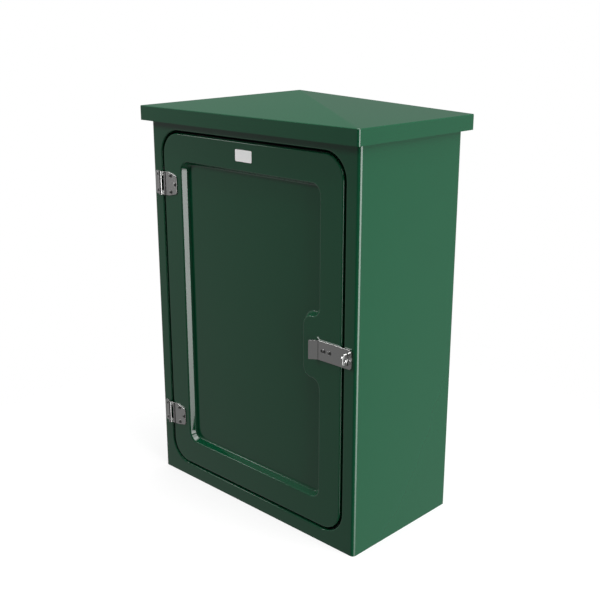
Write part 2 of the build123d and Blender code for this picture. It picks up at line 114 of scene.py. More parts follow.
def noise(tree, place, scale, detail=2.0, stretch=(1.0, 1.0, 1.0)):
    """Value of a noise texture in cycles a metre, drawn out along an axis where its stretch is small."""
    drawn = add_node(tree, "ShaderNodeMapping", {"Vector": place, "Scale": stretch}).outputs["Vector"]
    inputs = {"Vector": drawn, "Scale": scale, "Detail": detail}
    return add_node(tree, "ShaderNodeTexNoise", inputs).outputs["Fac"]


def between(tree, value, low, high):
    """A value from 0 to 1 brought to a range."""
    inputs = {"Value": value, "To Min": low, "To Max": high}
    return add_node(tree, "ShaderNodeMapRange", inputs).outputs["Result"]


def blend_values(tree, share, first, second):
    """Two values mixed by a share. The sockets of a Mix node share their names, so they go by number."""
    return add_node(tree, "ShaderNodeMix", {0: share, 2: first, 3: second}).outputs[0]


def blend_colours(tree, share, first, second):
    """Two colours mixed by a share, with the sockets by number as well."""
    return add_node(tree, "ShaderNodeMix", {0: share, 6: first, 7: second}, data_type="RGBA").outputs[2]


def bump(tree, height, distance):
    """A normal from a height of 0 to 1, which stands for a distance."""
    return add_node(tree, "ShaderNodeBump", {"Height": height, "Distance": distance}).outputs["Normal"]


def outline_distance(tree, place, low, high, radius):
    """Distance of a place outside a round-cornered rectangle that faces -Y, below zero inside it."""
    middle = (low + high) / 2
    half = (high - low) / 2 - Vector((radius, 0.0, radius))
    away = vector_maths(tree, "ABSOLUTE", vector_maths(tree, "SUBTRACT", place, tuple(middle)))
    past = vector_maths(tree, "MULTIPLY", vector_maths(tree, "SUBTRACT", away, tuple(half)), (1.0, 0.0, 1.0))
    corner = vector_maths(tree, "LENGTH", vector_maths(tree, "MAXIMUM", past, (0.0, 0.0, 0.0)))
    across, _, up = split(tree, past)
    edge = maths(tree, "MINIMUM", maths(tree, "MAXIMUM", across, up), 0.0)
    return maths(tree, "SUBTRACT", maths(tree, "ADD", corner, edge), radius)


def gelcoat(name, find_inside):
    """Glossy pigmented gelcoat with a slow ripple, and flowcoat over loose strands on the inside."""
    material, tree, shader, place = start_material(name)
    inside = find_inside(tree, place)
    shade = noise(tree, place, GELCOAT_SHADE_SCALE, detail=3.0)
    outer_colour = blend_colours(tree, shade, GELCOAT_GREEN, GELCOAT_DEEP_GREEN)
    outer_roughness = between(tree, noise(tree, place, GELCOAT_HAZE_SCALE), *GELCOAT_ROUGHNESS)
    level_strands = noise(tree, place, STRAND_SCALE, detail=1.0, stretch=(STRAND_STRETCH, 1.0, 1.0))
    upright_strands = noise(tree, place, STRAND_SCALE, detail=1.0, stretch=(1.0, 1.0, STRAND_STRETCH))
    strands = maths(tree, "MAXIMUM", level_strands, upright_strands)
    inner_colour = blend_colours(tree, strands, FLOWCOAT_GREEN, FLOWCOAT_PALE_GREEN)
    height = blend_values(tree, inside, noise(tree, place, RIPPLE_SCALE), strands)
    relief = blend_values(tree, inside, RIPPLE_HEIGHT, STRAND_HEIGHT)
    specular = blend_values(tree, inside, GELCOAT_SPECULAR, FLOWCOAT_SPECULAR)
    give(tree, shader.inputs["Base Color"], blend_colours(tree, inside, outer_colour, inner_colour))
    give(tree, shader.inputs["Roughness"], blend_values(tree, inside, outer_roughness, FLOWCOAT_ROUGHNESS))
    give(tree, shader.inputs["Specular IOR Level"], specular)
    give(tree, shader.inputs["Normal"], bump(tree, height, relief))
    return material


def dress(material, *nodes):
    """Gives a material to CAD nodes."""
    for name in nodes:
        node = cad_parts[name]
        if not node.material_slots:
            node.data.materials.append(material)
        for slot in node.material_slots:
            slot.material = material


_, body_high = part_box("body_shell")
door_low, door_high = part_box("door_panel")
seal_low, seal_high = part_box("door_seal")


def find_body_inside(tree, place):
    """1 on the faces behind the walls of the body and behind its door rebate, else 0."""
    across, deep, _ = split(tree, vector_maths(tree, "ABSOLUTE", place))
    side = maths(tree, "LESS_THAN", across, body_high.x - BODY_WALL / 2)
    ends = maths(tree, "LESS_THAN", deep, body_high.y - BODY_WALL / 2)
    gap = Vector((DOOR_GAP, 0.0, DOOR_GAP))
    opening = outline_distance(tree, place, door_low - gap, door_high + gap, OPENING_CORNER_RADIUS)
    in_opening = maths(tree, "LESS_THAN", opening, BODY_WALL / 2)
    before_lip = maths(tree, "LESS_THAN", split(tree, place)["Y"], seal_high.y + BODY_WALL / 2)
    behind_rebate = maths(tree, "SUBTRACT", 1.0, maths(tree, "MULTIPLY", in_opening, before_lip))
    return maths(tree, "MULTIPLY", maths(tree, "MULTIPLY", side, ends), behind_rebate)


dress(gelcoat("body_gelcoat", find_body_inside), "body_shell")


# Mounting board and its spacers
# A sheet of exterior plywood on turned hardwood spacers, held to the back wall by a countersunk wood
# screw near each corner. Its faces show the grain along its height, its edges the crossed plies.
PLYWOOD_PALE = (0.52, 0.36, 0.20, 1.0)
PLYWOOD_DARK = (0.40, 0.25, 0.125, 1.0)
END_PLY_DARK = (0.22, 0.125, 0.06, 1.0)
PLY_THICKNESS = 0.0015
BOARD_EDGE_RADIUS = 0.0015
EDGE_BAND_SHARE = 1.05
FIGURE_SCALE = 22.0
FIGURE_STRETCH = 0.07
PORE_SCALE = 900.0
PORE_STRETCH = 0.03
PORE_HEIGHT = 0.0001
GRAIN_CONTRAST = (-0.6, 2.2)
PLYWOOD_ROUGHNESS = (0.55, 0.75)
SPACER_PALE = (0.46, 0.32, 0.18, 1.0)
SPACER_DARK = (0.33, 0.215, 0.11, 1.0)
RING_SCALE = 60.0
RING_DISTORTION = 3.0
RING_HEIGHT = 0.00005
HARDWOOD_ROUGHNESS = (0.5, 0.65)


def plywood(name, low, high):
    """Plywood with its face grain along Z, and plies of two shades on the edges of its box."""
    material, tree, shader, place = start_material(name)
    figure = noise(tree, place, FIGURE_SCALE, detail=4.0, stretch=(1.0, 1.0, FIGURE_STRETCH))
    pores = noise(tree, place, PORE_SCALE, stretch=(1.0, 1.0, PORE_STRETCH))
    grain = between(tree, maths(tree, "MULTIPLY", figure, pores), *GRAIN_CONTRAST)
    face = blend_colours(tree, grain, PLYWOOD_DARK, PLYWOOD_PALE)
    depth = maths(tree, "SUBTRACT", split(tree, place)["Y"], low.y)
    pairs = maths(tree, "DIVIDE", depth, 2 * PLY_THICKNESS)
    crossed = maths(tree, "GREATER_THAN", maths(tree, "FRACT", pairs), 0.5)
    plies = blend_colours(tree, crossed, PLYWOOD_PALE, END_PLY_DARK)
    edge_distance = outline_distance(tree, place, low, high, 0.0)
    edge = maths(tree, "GREATER_THAN", edge_distance, -EDGE_BAND_SHARE * BOARD_EDGE_RADIUS)
    give(tree, shader.inputs["Base Color"], blend_colours(tree, edge, face, plies))
    give(tree, shader.inputs["Roughness"], between(tree, pores, *PLYWOOD_ROUGHNESS))
    give(tree, shader.inputs["Normal"], bump(tree, pores, PORE_HEIGHT))
    return material


def hardwood(name):
    """Turned hardwood with growth rings across it."""
    material, tree, shader, place = start_material(name)
    inputs = {"Vector": place, "Scale": RING_SCALE, "Distortion": RING_DISTORTION, "Detail": 2.0}
    rings = add_node(tree, "ShaderNodeTexWave", inputs, wave_type="RINGS", rings_direction="Z").outputs["Fac"]
    give(tree, shader.inputs["Base Color"], blend_colours(tree, rings, SPACER_DARK, SPACER_PALE))
    give(tree, shader.inputs["Roughness"], between(tree, rings, *HARDWOOD_ROUGHNESS))
    give(tree, shader.inputs["Normal"], bump(tree, rings, RING_HEIGHT))
    return material


dress(plywood("board_plywood", *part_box("backboard")), "backboard")
dress(hardwood("spacer_hardwood"), "backboard_spacers")


# Board screws
# Zinc-plated countersunk wood screws with a cross recess, driven flush with the board through the
# spacers into the back of the body.
ZINC_PALE = (0.56, 0.56, 0.545, 1.0)
ZINC_DULL = (0.44, 0.44, 0.425, 1.0)
ZINC_CLOUD_SCALE = 300.0
ZINC_CLOUD_HEIGHT = 0.00001
ZINC_ROUGHNESS = (0.28, 0.45)
BOARD_SCREW_HEAD = 0.012
BOARD_SCREW_DIAMETER = 0.006
BOARD_SCREW_PITCH_SHARE = 0.4
CROSS_LENGTH_SHARE = 0.52
CROSS_WIDTH_SHARE = 0.11
THREAD_CORE_SHARE = 0.43
THREAD_RIDGE_SHARE = 0.07
THREAD_RUNOUT_PITCHES = 1.5
MERGE_DISTANCE = 0.000001
NEAR_SHARE = 1.2
DEPTH_AXIS = 1
OUT_OF_FRONT = (math.radians(90), 0.0, 0.0)
UPRIGHT = (0.0, 0.0, 0.0)
SMOOTH_BELOW = math.radians(32)


def zinc(name):
    """Zinc-plated steel with a cloudy bright finish."""
    material, tree, shader, place = start_material(name)
    clouds = noise(tree, place, ZINC_CLOUD_SCALE, detail=3.0)
    give(tree, shader.inputs["Base Color"], blend_colours(tree, clouds, ZINC_PALE, ZINC_DULL))
    give(tree, shader.inputs["Roughness"], between(tree, clouds, *ZINC_ROUGHNESS))
    give(tree, shader.inputs["Normal"], bump(tree, clouds, ZINC_CLOUD_HEIGHT))
    shader.inputs["Metallic"].default_value = 1.0
    return material


def start_tree(name, *sizes):
    """A new geometry tree that takes a cloud of places, a turn, a finish and named sizes."""
    tree = bpy.data.node_groups.new(name, "GeometryNodeTree")
    tree.interface.new_socket("Geometry", in_out="INPUT", socket_type="NodeSocketGeometry")
    tree.interface.new_socket("Turn", in_out="INPUT", socket_type="NodeSocketVector")
    tree.interface.new_socket("Finish", in_out="INPUT", socket_type="NodeSocketMaterial")
    for size in sizes:
        tree.interface.new_socket(size, in_out="INPUT", socket_type="NodeSocketFloat")
    tree.interface.new_socket("Geometry", in_out="OUTPUT", socket_type="NodeSocketGeometry")
    return tree, add_node(tree, "NodeGroupInput").outputs


def shift_up(tree, shape, height):
    """A shape moved along Z."""
    shift = add_node(tree, "ShaderNodeCombineXYZ", {"Z": height}).outputs["Vector"]
    inputs = {"Geometry": shape, "Translation": shift}
    return add_node(tree, "GeometryNodeTransform", inputs).outputs["Geometry"]


def join(tree, *shapes):
    """Several shapes as one."""
    node = add_node(tree, "GeometryNodeJoinGeometry")
    for shape in shapes:
        tree.links.new(shape, node.inputs["Geometry"])
    return node.outputs["Geometry"]


def cut(tree, shape, *tools):
    """A shape with tools cut out of it."""
    inputs = {"Mesh 1": shape}
    node = add_node(tree, "GeometryNodeMeshBoolean", inputs, operation="DIFFERENCE", solver="EXACT")
    for tool in tools:
        tree.links.new(tool, node.inputs["Mesh 2"])
    return node.outputs["Mesh"]


def threaded_rod(tree, diameter, length, pitch):
    """A rod from the origin down -Z, its thread a ridge swept along a spiral."""
    core = maths(tree, "MULTIPLY", diameter, THREAD_CORE_SHARE)
    inputs = {"Vertices": 20, "Radius": core, "Depth": length}
    rod = add_node(tree, "GeometryNodeMeshCylinder", inputs).outputs["Mesh"]
    runout = maths(tree, "MULTIPLY", pitch, THREAD_RUNOUT_PITCHES)
    run = maths(tree, "SUBTRACT", length, runout)
    turns = maths(tree, "DIVIDE", run, pitch)
    inputs = {"Resolution": 16, "Rotations": turns, "Start Radius": core, "End Radius": core, "Height": run}
    spiral = add_node(tree, "GeometryNodeCurveSpiral", inputs).outputs["Curve"]
    upright = add_node(tree, "GeometryNodeSetCurveNormal", {"Curve": spiral}, mode="Z_UP").outputs["Curve"]
    inputs = {"Resolution": 4, "Radius": maths(tree, "MULTIPLY", diameter, THREAD_RIDGE_SHARE)}
    profile = add_node(tree, "GeometryNodeCurvePrimitiveCircle", inputs).outputs["Curve"]
    inputs = {"Curve": upright, "Profile Curve": profile, "Fill Caps": True}
    ridge = add_node(tree, "GeometryNodeCurveToMesh", inputs).outputs["Mesh"]
    ridge_end = maths(tree, "SUBTRACT", maths(tree, "MULTIPLY", runout, 0.5), length)
    ridge = shift_up(tree, ridge, ridge_end)
    return join(tree, shift_up(tree, rod, maths(tree, "MULTIPLY", length, -0.5)), ridge)


def end_tree(tree, given, shape):
    """Closes a tree: the shape turned, set at each place, made real and given its finish."""
    inputs = {"Geometry": shape, "Distance": MERGE_DISTANCE}
    merged = add_node(tree, "GeometryNodeMergeByDistance", inputs).outputs["Geometry"]
    turn = add_node(tree, "FunctionNodeEulerToRotation", {"Euler": given["Turn"]}).outputs["Rotation"]
    inputs = {"Points": given["Geometry"], "Instance": merged, "Rotation": turn}
    copies = add_node(tree, "GeometryNodeInstanceOnPoints", inputs).outputs["Instances"]
    real = add_node(tree, "GeometryNodeRealizeInstances", {"Geometry": copies}).outputs["Geometry"]
    inputs = {"Geometry": real, "Material": given["Finish"]}
    finished = add_node(tree, "GeometryNodeSetMaterial", inputs).outputs["Geometry"]
    add_node(tree, "NodeGroupOutput", {"Geometry": finished})
    return tree


def countersunk_screw_tree():
    """Wood screws from the origin down -Z, with a flat countersunk head and a cross recess."""
    tree, given = start_tree("countersunk_screw", "Head Diameter", "Shank Diameter", "Length")
    head_radius = maths(tree, "MULTIPLY", given["Head Diameter"], 0.5)
    shank_radius = maths(tree, "MULTIPLY", given["Shank Diameter"], 0.5)
    cone_height = maths(tree, "SUBTRACT", head_radius, shank_radius)
    inputs = {"Vertices": 32, "Radius Top": head_radius, "Radius Bottom": shank_radius, "Depth": cone_height}
    cone = add_node(tree, "GeometryNodeMeshCone", inputs).outputs["Mesh"]
    head = shift_up(tree, cone, maths(tree, "MULTIPLY", cone_height, -1.0))
    long_side = maths(tree, "MULTIPLY", given["Head Diameter"], CROSS_LENGTH_SHARE)
    short_side = maths(tree, "MULTIPLY", given["Head Diameter"], CROSS_WIDTH_SHARE)
    inputs = {"X": long_side, "Y": short_side, "Z": cone_height}
    slot = add_node(tree, "ShaderNodeCombineXYZ", inputs).outputs["Vector"]
    inputs = {"X": short_side, "Y": long_side, "Z": cone_height}
    cross_slot = add_node(tree, "ShaderNodeCombineXYZ", inputs).outputs["Vector"]
    blade = add_node(tree, "GeometryNodeMeshCube", {"Size": slot}).outputs["Mesh"]
    cross_blade = add_node(tree, "GeometryNodeMeshCube", {"Size": cross_slot}).outputs["Mesh"]
    head = cut(tree, head, blade, cross_blade)
    pitch = maths(tree, "MULTIPLY", given["Shank Diameter"], BOARD_SCREW_PITCH_SHARE)
    rod_length = maths(tree, "SUBTRACT", given["Length"], cone_height)
    rod = threaded_rod(tree, given["Shank Diameter"], rod_length, pitch)
    rod = shift_up(tree, rod, maths(tree, "MULTIPLY", cone_height, -1.0))
    return end_tree(tree, given, join(tree, head, rod))


def fastener_places(node, axis, level, width):
    """Middles of the like solids of a CAD node, at a level of their common axis (0 to 2).

    Vertices that lie less than a width from the first one of a solid belong to that solid.
    """
    groups = []
    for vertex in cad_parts[node].data.vertices:
        place = vertex.co.copy()
        place[axis] = level
        near = [group for group in groups if (group[0] - place).length < width]
        if near:
            near[0].append(place)
        else:
            groups.append([place])
    places = []
    for group in groups:
        lowest = [min(place[part] for place in group) for part in range(3)]
        highest = [max(place[part] for place in group) for part in range(3)]
        places.append([(a + b) / 2 for a, b in zip(lowest, highest)])
    return places


def grow(name, tree, places, turn, finish, sizes):
    """Runs a tree on a cloud of places and keeps the result as a plain mesh at the origin."""
    cloud = bpy.data.meshes.new(name + "_places")
    cloud.from_pydata(places, [], [])
    piece = bpy.data.objects.new(name, cloud)
    bpy.context.scene.collection.objects.link(piece)
    modifier = piece.modifiers.new("shape", "NODES")
    modifier.node_group = tree
    values = {"Turn": turn, "Finish": finish, **sizes}
    for item in tree.interface.items_tree:
        if item.name in values:
            modifier[item.identifier] = values[item.name]
    ready = piece.evaluated_get(bpy.context.evaluated_depsgraph_get())
    mesh = bpy.data.meshes.new_from_object(ready)
    piece.modifiers.remove(modifier)
    mesh.name = name
    mesh.materials.clear()
    mesh.materials.append(finish)
    mesh.polygons.foreach_set("material_index", [0] * len(mesh.polygons))
    mesh.shade_smooth()
    mesh.set_sharp_from_angle(angle=SMOOTH_BELOW)
    piece.data = mesh
    return piece


def stand_for(piece, body, node):
    """Puts a piece on a body in place of a CAD node, and hides that node."""
    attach(piece, body)
    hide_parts(node)


screw_low, screw_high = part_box("backboard_screws")
places = fastener_places("backboard_screws", DEPTH_AXIS, screw_low.y, NEAR_SHARE * BOARD_SCREW_HEAD)
sizes = {
    "Head Diameter": BOARD_SCREW_HEAD,
    "Shank Diameter": BOARD_SCREW_DIAMETER,
    "Length": screw_high.y - screw_low.y,
}
bright_zinc = zinc("bright_zinc")
board_screws = grow("board_wood_screws", countersunk_screw_tree(), places, OUT_OF_FRONT, bright_zinc, sizes)
stand_for(board_screws, "cabinet", "backboard_screws")


# Roof gasket
# A closed-cell foam strip with a low crown, cut from a roll and stuck in one run to the top flange of
# the body. The roof presses on it and so keeps the rain out.
FOAM_GREY = (0.055, 0.055, 0.057, 1.0)
FOAM_DARK = (0.030, 0.030, 0.032, 1.0)
FOAM_CELL_SCALE = 1600.0
FOAM_CELL_HEIGHT = 0.0001
FOAM_ROUGHNESS = (0.75, 0.9)
GASKET_WIDTH = 0.024
GASKET_CORNER_RADIUS = 0.013
GASKET_FOOT_SHARE = 0.9
GASKET_CROWN_SHARE = 0.9


def foam(name):
    """Closed-cell foam rubber with a fine cell pattern."""
    material, tree, shader, place = start_material(name)
    inputs = {"Vector": place, "Scale": FOAM_CELL_SCALE}
    cells = add_node(tree, "ShaderNodeTexVoronoi", inputs).outputs["Distance"]
    give(tree, shader.inputs["Base Color"], blend_colours(tree, cells, FOAM_DARK, FOAM_GREY))
    give(tree, shader.inputs["Roughness"], between(tree, cells, *FOAM_ROUGHNESS))
    give(tree, shader.inputs["Normal"], bump(tree, cells, FOAM_CELL_HEIGHT))
    return material


def strip_tree():
    """A strip laid flat round a rectangle: a flat foot with a domed bulb along its middle."""
    path_sizes = ("Path Width", "Path Height", "Corner Radius")
    section_sizes = ("Foot Width", "Foot Height", "Bulb Width", "Bulb Height")
    tree, given = start_tree("laid_strip", *path_sizes, *section_sizes)
    inputs = {"Width": given["Path Width"], "Height": given["Path Height"]}
    path = add_node(tree, "GeometryNodeCurvePrimitiveQuadrilateral", inputs).outputs["Curve"]
    inputs = {"Curve": path, "Count": 10, "Radius": given["Corner Radius"]}
    path = add_node(tree, "GeometryNodeFilletCurve", inputs, mode="POLY").outputs["Curve"]
    inputs = {"Width": given["Foot Width"], "Height": given["Foot Height"]}
    foot = add_node(tree, "GeometryNodeCurvePrimitiveQuadrilateral", inputs).outputs["Curve"]
    down = maths(tree, "MULTIPLY", given["Foot Height"], -0.5)
    shift = add_node(tree, "ShaderNodeCombineXYZ", {"Y": down}).outputs["Vector"]
    inputs = {"Geometry": foot, "Translation": shift}
    foot = add_node(tree, "GeometryNodeTransform", inputs).outputs["Geometry"]
    inputs = {"Resolution": 24, "Radius": 1.0}
    circle = add_node(tree, "GeometryNodeCurvePrimitiveCircle", inputs).outputs["Curve"]
    across, up, _ = split(tree, add_node(tree, "GeometryNodeInputPosition").outputs["Position"])
    half_width = maths(tree, "MULTIPLY", given["Bulb Width"], 0.5)
    inputs = {
        "X": maths(tree, "MULTIPLY", across, half_width),
        "Y": maths(tree, "MULTIPLY", maths(tree, "MINIMUM", up, 0.0), given["Bulb Height"]),
    }
    domed = add_node(tree, "ShaderNodeCombineXYZ", inputs).outputs["Vector"]
    inputs = {"Geometry": circle, "Position": domed}
    bulb = add_node(tree, "GeometryNodeSetPosition", inputs).outputs["Geometry"]
    inputs = {"Curve": path, "Profile Curve": join(tree, foot, bulb)}
    strip = add_node(tree, "GeometryNodeCurveToMesh", inputs).outputs["Mesh"]
    return end_tree(tree, given, strip)


laid_strip = strip_tree()
gasket_low, gasket_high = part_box("roof_gasket")
gasket_size = gasket_high - gasket_low
sizes = {
    "Path Width": gasket_size.x - GASKET_WIDTH,
    "Path Height": gasket_size.y - GASKET_WIDTH,
    "Corner Radius": GASKET_CORNER_RADIUS,
    "Foot Width": GASKET_WIDTH,
    "Foot Height": GASKET_FOOT_SHARE * gasket_size.z,
    "Bulb Width": GASKET_CROWN_SHARE * GASKET_WIDTH,
    "Bulb Height": gasket_size.z,
}
places = [[0.0, 0.0, gasket_low.z]]
gasket = grow("roof_foam_strip", laid_strip, places, UPRIGHT, foam("grey_foam"), sizes)
stand_for(gasket, "cabinet", "roof_gasket")


# Roof canopy
# A second moulding in the same green: a low pyramid with an upright fascia that overhangs the body
# on all sides, gelcoat above and flowcoat below. Studs bonded into its underside hold it down.
ROOF_WALL = 0.004
ROOF_RISE = 0.040
ROOF_RIM_SHARE = 0.97
STRAY_LIKENESS = 0.95
_, roof_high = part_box("roof_canopy")


def roof_slope(tree, place):
    """Share of the way from the top of the roof to its rim, and the height of its slopes there."""
    shares = vector_maths(tree, "DIVIDE", place, (roof_high.x, roof_high.y, 1.0))
    across, deep, _ = split(tree, vector_maths(tree, "ABSOLUTE", shares))
    share = maths(tree, "MAXIMUM", across, deep)
    return share, maths(tree, "SUBTRACT", roof_high.z, maths(tree, "MULTIPLY", share, ROOF_RISE))


def find_roof_inside(tree, place):
    """1 on the faces under the roof, behind its fascia and its four slopes, else 0."""
    _, slope = roof_slope(tree, place)
    mid_wall = maths(tree, "SUBTRACT", slope, ROOF_WALL / 2)
    under = maths(tree, "LESS_THAN", split(tree, place)["Z"], mid_wall)
    across, deep, _ = split(tree, vector_maths(tree, "ABSOLUTE", place))
    side = maths(tree, "LESS_THAN", across, roof_high.x - ROOF_WALL / 2)
    ends = maths(tree, "LESS_THAN", deep, roof_high.y - ROOF_WALL / 2)
    return maths(tree, "MULTIPLY", under, maths(tree, "MULTIPLY", side, ends))


def even_hips_tree():
    """A tree that gives stray corners on the slopes the normal of a hip, halfway between its two slopes."""
    tree = bpy.data.node_groups.new("even_hips", "GeometryNodeTree")
    tree.interface.new_socket("Geometry", in_out="INPUT", socket_type="NodeSocketGeometry")
    tree.interface.new_socket("Geometry", in_out="OUTPUT", socket_type="NodeSocketGeometry")
    shape = add_node(tree, "NodeGroupInput").outputs["Geometry"]
    place = add_node(tree, "GeometryNodeInputPosition").outputs["Position"]
    normal = add_node(tree, "GeometryNodeInputNormal").outputs["Normal"]
    lean = (ROOF_RISE / roof_high.x / 2, ROOF_RISE / roof_high.y / 2, 0.0)
    towards = vector_maths(tree, "MULTIPLY", vector_maths(tree, "SIGN", place), lean)
    hip = vector_maths(tree, "NORMALIZE", vector_maths(tree, "ADD", towards, (0.0, 0.0, 1.0)))
    likeness = vector_maths(tree, "DOT_PRODUCT", normal, hip)
    share, slope = roof_slope(tree, place)
    mid_wall = maths(tree, "SUBTRACT", slope, ROOF_WALL / 2)
    above = maths(tree, "GREATER_THAN", split(tree, place)["Z"], mid_wall)
    inside_rim = maths(tree, "LESS_THAN", share, ROOF_RIM_SHARE)
    strays = maths(tree, "LESS_THAN", likeness, STRAY_LIKENESS)
    mended = maths(tree, "MULTIPLY", strays, maths(tree, "MULTIPLY", above, inside_rim))
    inputs = {"Switch": mended, "False": normal, "True": hip}
    even = add_node(tree, "GeometryNodeSwitch", inputs, input_type="VECTOR").outputs["Output"]
    inputs = {"Mesh": shape, "Custom Normal": even}
    node = add_node(tree, "GeometryNodeSetMeshNormal", inputs, mode="FREE", domain="CORNER")
    add_node(tree, "NodeGroupOutput", {"Geometry": node.outputs["Mesh"]})
    return tree


dress(gelcoat("roof_gelcoat", find_roof_inside), "roof_canopy")
even_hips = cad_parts["roof_canopy"].modifiers.new("even_hips", "NODES")
even_hips.node_group = even_hips_tree()


# Roof studs and nuts
# Zinc-plated threaded studs bonded into the roof go through the gasket and the top flange, and are
# pulled down by a hexagon nut each, out of reach from outside.
STUD_DIAMETER = 0.006
STUD_PITCH = 0.001
STUD_NUT_FLATS = 0.010
NUT_CROWN_WIDTH_SHARE = 0.648
NUT_CROWN_HEIGHT_SHARE = 0.769
DRILL_LENGTH_SHARE = 1.5
HEIGHT_AXIS = 2
stud_low, stud_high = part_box("roof_studs")
nut_low, nut_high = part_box("roof_nuts")


def stud_tree():
    """Threaded studs from the origin down -Z."""
    tree, given = start_tree("threaded_stud", "Diameter", "Length", "Pitch")
    return end_tree(tree, given, threaded_rod(tree, given["Diameter"], given["Length"], given["Pitch"]))


def nut_tree():
    """Hexagon nuts from the origin down -Z, with their corners turned off by a spheroid."""
    tree, given = start_tree("hexagon_nut", "Flats", "Height", "Bore")
    corner = maths(tree, "DIVIDE", given["Flats"], math.sqrt(3))
    inputs = {"Vertices": 6, "Radius": corner, "Depth": given["Height"]}
    prism = add_node(tree, "GeometryNodeMeshCylinder", inputs).outputs["Mesh"]
    inputs = {"Segments": 36, "Rings": 24, "Radius": 1.0}
    ball = add_node(tree, "GeometryNodeMeshUVSphere", inputs).outputs["Mesh"]
    wide = maths(tree, "MULTIPLY", given["Flats"], NUT_CROWN_WIDTH_SHARE)
    tall = maths(tree, "MULTIPLY", given["Height"], NUT_CROWN_HEIGHT_SHARE)
    stretch = add_node(tree, "ShaderNodeCombineXYZ", {"X": wide, "Y": wide, "Z": tall}).outputs["Vector"]
    inputs = {"Geometry": ball, "Scale": stretch}
    spheroid = add_node(tree, "GeometryNodeTransform", inputs).outputs["Geometry"]
    node = add_node(tree, "GeometryNodeMeshBoolean", operation="INTERSECT", solver="EXACT")
    for shape in (prism, spheroid):
        tree.links.new(shape, node.inputs["Mesh 2"])
    radius = maths(tree, "MULTIPLY", given["Bore"], 0.5)
    drill_length = maths(tree, "MULTIPLY", given["Height"], DRILL_LENGTH_SHARE)
    inputs = {"Vertices": 24, "Radius": radius, "Depth": drill_length}
    drill = add_node(tree, "GeometryNodeMeshCylinder", inputs).outputs["Mesh"]
    nut = cut(tree, node.outputs["Mesh"], drill)
    return end_tree(tree, given, shift_up(tree, nut, maths(tree, "MULTIPLY", given["Height"], -0.5)))


places = fastener_places("roof_studs", HEIGHT_AXIS, stud_high.z, NEAR_SHARE * STUD_DIAMETER)
sizes = {"Diameter": STUD_DIAMETER, "Length": stud_high.z - stud_low.z, "Pitch": STUD_PITCH}
studs = grow("roof_threaded_studs", stud_tree(), places, UPRIGHT, bright_zinc, sizes)
stand_for(studs, "cabinet", "roof_studs")

hexagon_nut = nut_tree()
places = fastener_places("roof_nuts", HEIGHT_AXIS, nut_high.z, NEAR_SHARE * STUD_NUT_FLATS)
sizes = {"Flats": STUD_NUT_FLATS, "Height": nut_high.z - nut_low.z, "Bore": STUD_DIAMETER}
stud_nuts = grow("roof_stud_nuts", hexagon_nut, places, UPRIGHT, bright_zinc, sizes)
stand_for(stud_nuts, "cabinet", "roof_nuts")


# Door seal
# A black rubber strip of extruded section, a flat foot with a hollow bulb, stuck to the front of the
# rebate lip. The back edges of the door press on its bulb.
RUBBER_BLACK = (0.016, 0.016, 0.017, 1.0)
RUBBER_WORN = (0.030, 0.030, 0.031, 1.0)
RUBBER_BLOOM_SCALE = 120.0
RUBBER_ROUGHNESS = (0.5, 0.7)
RUBBER_TEXTURE_SCALE = 1500.0
RUBBER_TEXTURE_HEIGHT = 0.00003
SEAL_WIDTH = 0.013
SEAL_CORNER_RADIUS = 0.045
SEAL_FOOT = 0.0016
SEAL_BULB = 0.009


def rubber(name):
    """Matt black rubber with a dusty bloom."""
    material, tree, shader, place = start_material(name)
    bloom = noise(tree, place, RUBBER_BLOOM_SCALE, detail=4.0)
    give(tree, shader.inputs["Base Color"], blend_colours(tree, bloom, RUBBER_BLACK, RUBBER_WORN))
    give(tree, shader.inputs["Roughness"], between(tree, bloom, *RUBBER_ROUGHNESS))
    texture = noise(tree, place, RUBBER_TEXTURE_SCALE)
    give(tree, shader.inputs["Normal"], bump(tree, texture, RUBBER_TEXTURE_HEIGHT))
    return material


seal_size = seal_high - seal_low
seal_middle = (seal_low + seal_high) / 2
sizes = {
    "Path Width": seal_size.x - SEAL_WIDTH,
    "Path Height": seal_size.z - SEAL_WIDTH,
    "Corner Radius": SEAL_CORNER_RADIUS,
    "Foot Width": SEAL_WIDTH,
    "Foot Height": SEAL_FOOT,
    "Bulb Width": SEAL_BULB,
    "Bulb Height": seal_size.y,
}
places = [[seal_middle.x, seal_high.y, seal_middle.z]]
seal = grow("door_rubber_strip", laid_strip, places, OUT_OF_FRONT, rubber("seal_rubber"), sizes)
stand_for(seal, "cabinet", "door_seal")


# Hinges
# Two stainless hinges of stepped sheet, a small leaf on the frame and a tapered one on the door, whose
# curled knuckles turn on a loose pin with chamfered ends. Polished, with a fine grain along the sheet.
STEEL_GREY = (0.53, 0.53, 0.525, 1.0)
STEEL_DULL = (0.48, 0.48, 0.475, 1.0)
STEEL_GRAIN_SCALE = 2600.0
STEEL_GRAIN_STRETCH = 0.06
STEEL_GRAIN_HEIGHT = 0.000004
STEEL_ROUGHNESS = (0.16, 0.24)


def stainless(name):
    """Polished stainless steel with a fine grain along X."""
    material, tree, shader, place = start_material(name)
    grain = noise(tree, place, STEEL_GRAIN_SCALE, detail=3.0, stretch=(STEEL_GRAIN_STRETCH, 1.0, 1.0))
    give(tree, shader.inputs["Base Color"], blend_colours(tree, grain, STEEL_GREY, STEEL_DULL))
    give(tree, shader.inputs["Roughness"], between(tree, grain, *STEEL_ROUGHNESS))
    give(tree, shader.inputs["Normal"], bump(tree, grain, STEEL_GRAIN_HEIGHT))
    shader.inputs["Metallic"].default_value = 1.0
    return material


polished_steel = stainless("polished_stainless")
for hinge in ("upper_hinge", "lower_hinge"):
    dress(polished_steel, hinge + "_frame_leaf", hinge + "_door_leaf", hinge + "_pin")


